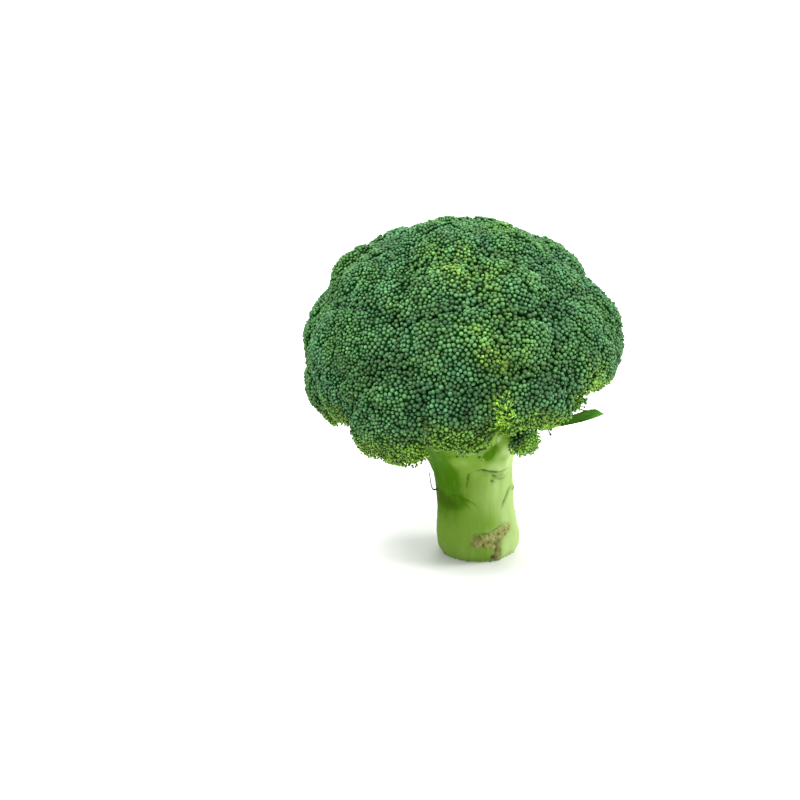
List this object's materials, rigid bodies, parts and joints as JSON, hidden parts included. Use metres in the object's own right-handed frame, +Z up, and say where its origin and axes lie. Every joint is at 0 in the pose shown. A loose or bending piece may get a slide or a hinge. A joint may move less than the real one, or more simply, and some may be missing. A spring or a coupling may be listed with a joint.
{
  "type": "broccoli head",
  "caption": "Head of broccoli with a leaning dome of bud-covered florets on forked branches, standing on its thick cut stalk.",
  "frame": {"origin": "middle of the flat cut end of the stalk, on the surface that the head stands on", "axes": "+Z up along the stalk, -Y towards the front of the head, +X to its right, where the small leaf is"},
  "size_m": [0.1591, 0.1535, 0.175],
  "materials": {
    "stalk": "smooth, waxy pale green skin with tan scars and a whitish cut",
    "buds": "waxy blue-green buds, matt with a soft bloom",
    "leaf": "dark green leaf with a satin skin"
  },
  "bodies": {
    "root": {"stalk": "stalk", "floret_01": "buds", "floret_02": "buds", "floret_03": "buds", "floret_04": "buds", "floret_05": "buds", "floret_06": "buds", "floret_07": "buds", "floret_08": "buds", "floret_09": "buds", "floret_10": "buds", "floret_11": "buds", "floret_12": "buds", "floret_13": "buds", "floret_14": "buds", "floret_15": "buds", "floret_16": "buds", "floret_17": "buds", "floret_18": "buds", "floret_19": "buds", "floret_20": "buds", "floret_21": "buds", "floret_22": "buds", "floret_23": "buds", "floret_24": "buds", "floret_25": "buds", "floret_26": "buds", "floret_27": "buds", "floret_28": "buds", "floret_29": "buds", "floret_side": "buds", "leaf": "leaf"}
  },
  "joints": []
}
